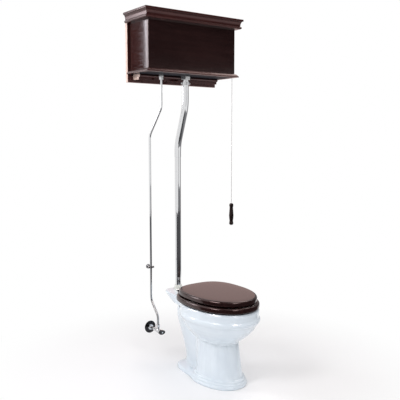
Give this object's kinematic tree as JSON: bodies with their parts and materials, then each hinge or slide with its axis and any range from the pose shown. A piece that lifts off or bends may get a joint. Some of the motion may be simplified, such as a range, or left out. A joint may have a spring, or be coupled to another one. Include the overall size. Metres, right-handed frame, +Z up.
{
  "type": "high-level toilet with a wooden cistern",
  "caption": "Pedestal toilet bowl with an oval seat and lid, fed by a tall flush pipe from a wooden cistern on a wall board, worked by a pull chain with a turned handle.",
  "frame": {"origin": "centre of the waste outlet at the floor", "axes": "+Z up; +X to the right of someone who faces the wall; +Y towards the wall, whose face is the plane y = 0.305"},
  "size_m": [0.6739, 0.712, 1.98],
  "materials": {
    "china": "glossy glaze",
    "stained_wood": "dark stained and lacquered",
    "turned_wood": "dark lacquer",
    "plated": "polished plating",
    "brass_work": "cast and turned",
    "dark_handle": "dark enamel",
    "float_copper": "smooth",
    "pale_rubber": "matt",
    "black_rubber": "matt",
    "liner_plastic": "matt"
  },
  "bodies": {
    "root": {"pedestal": "china", "sump": "china", "bowl": "china", "rim": "china", "inlet_cone": "pale_rubber", "flush_pipe_lower": "plated", "flush_pipe_upper": "plated", "slip_nut": "plated", "slip_washer": "black_rubber", "flush_valve_body": "plated", "flush_valve_gasket": "black_rubber", "flush_locknut": "plated", "overflow_tube": "brass_work", "stopper_guide": "brass_work", "fill_valve": "brass_work", "fill_valve_gasket": "black_rubber", "shank_nut": "plated", "coupling_nut": "plated", "supply_tube": "plated", "pipe_clip": "plated", "clip_screws": "plated", "stop_valve": "plated", "compression_nut": "plated", "wall_nipple": "plated", "wall_plate": "plated", "refill_tube": "black_rubber", "wall_board": "stained_wood", "support_ledge": "stained_wood", "case_back": "stained_wood", "case_front": "stained_wood", "case_left": "stained_wood", "case_right": "stained_wood", "base_board": "stained_wood", "base_moulding": "stained_wood", "liner": "liner_plastic", "lever_bracket": "brass_work", "lever_pin": "plated", "bracket_screws": "brass_work", "hinge_posts": "plated", "hinge_pins": "plated", "hinge_nuts": "plated", "hinge_washers": "black_rubber"},
    "cistern_lid": {"crown_moulding": "stained_wood", "cover_panel": "stained_wood"},
    "seat": {"seat_ring": "stained_wood", "seat_leaves": "plated", "seat_bumpers": "black_rubber"},
    "lid": {"seat_lid": "stained_wood", "lid_leaves": "plated", "lid_bumpers": "black_rubber"},
    "lever": {"flush_lever": "brass_work"},
    "plunger": {"stopper": "black_rubber", "lift_rod": "brass_work"},
    "float": {"float_arm": "brass_work", "float_ball": "float_copper"},
    "pull": {"chain_hook": "plated", "pull_chain": "plated", "pull_handle": "turned_wood"},
    "valve_handle": {"stop_handle": "dark_handle", "handle_screw": "plated"}
  },
  "joints": [
    {"name": "seat_hinge", "type": "hinge", "parent": "root", "child": "seat", "pos_m": [0, 0.117, 0.45], "axis": [-1, 0, 0], "range_deg": [0, 95]},
    {"name": "lid_hinge", "type": "hinge", "parent": "seat", "child": "lid", "pos_m": [0, 0.117, 0.45], "axis": [1, 0, 0], "range_deg": [-97, 0]},
    {"name": "lever_pivot", "type": "hinge", "parent": "root", "child": "lever", "pos_m": [0.2, 0.165, 1.865], "axis": [0, 1, 0], "range_deg": [0, 14]},
    {"name": "chain_drop", "type": "slide", "parent": "root", "child": "pull", "axis": [0, 0, -1], "range_m": [0, 0.034]},
    {"name": "valve_lift", "type": "slide", "parent": "root", "child": "plunger", "axis": [0, 0, 1], "range_m": [0, 0.0495]},
    {"name": "float_pivot", "type": "hinge", "parent": "root", "child": "float", "pos_m": [-0.153, 0.213, 1.85], "axis": [0, 1, 0], "range_deg": [0, 20]},
    {"name": "stop_valve_handle", "type": "hinge", "parent": "root", "child": "valve_handle", "pos_m": [-0.16092, 0.215, 0.202], "axis": [0, 1, 0], "range_deg": [0, 450]},
    {"name": "cistern_lid_lift", "type": "slide", "parent": "root", "child": "cistern_lid", "axis": [0, 0, 1], "range_m": [0, 0.12]}
  ],
  "couplings": [
    {"joint": "chain_drop", "follows": "lever_pivot", "m_per_rad": 0.13668},
    {"joint": "valve_lift", "follows": "lever_pivot", "m_per_rad": 0.201}
  ]
}
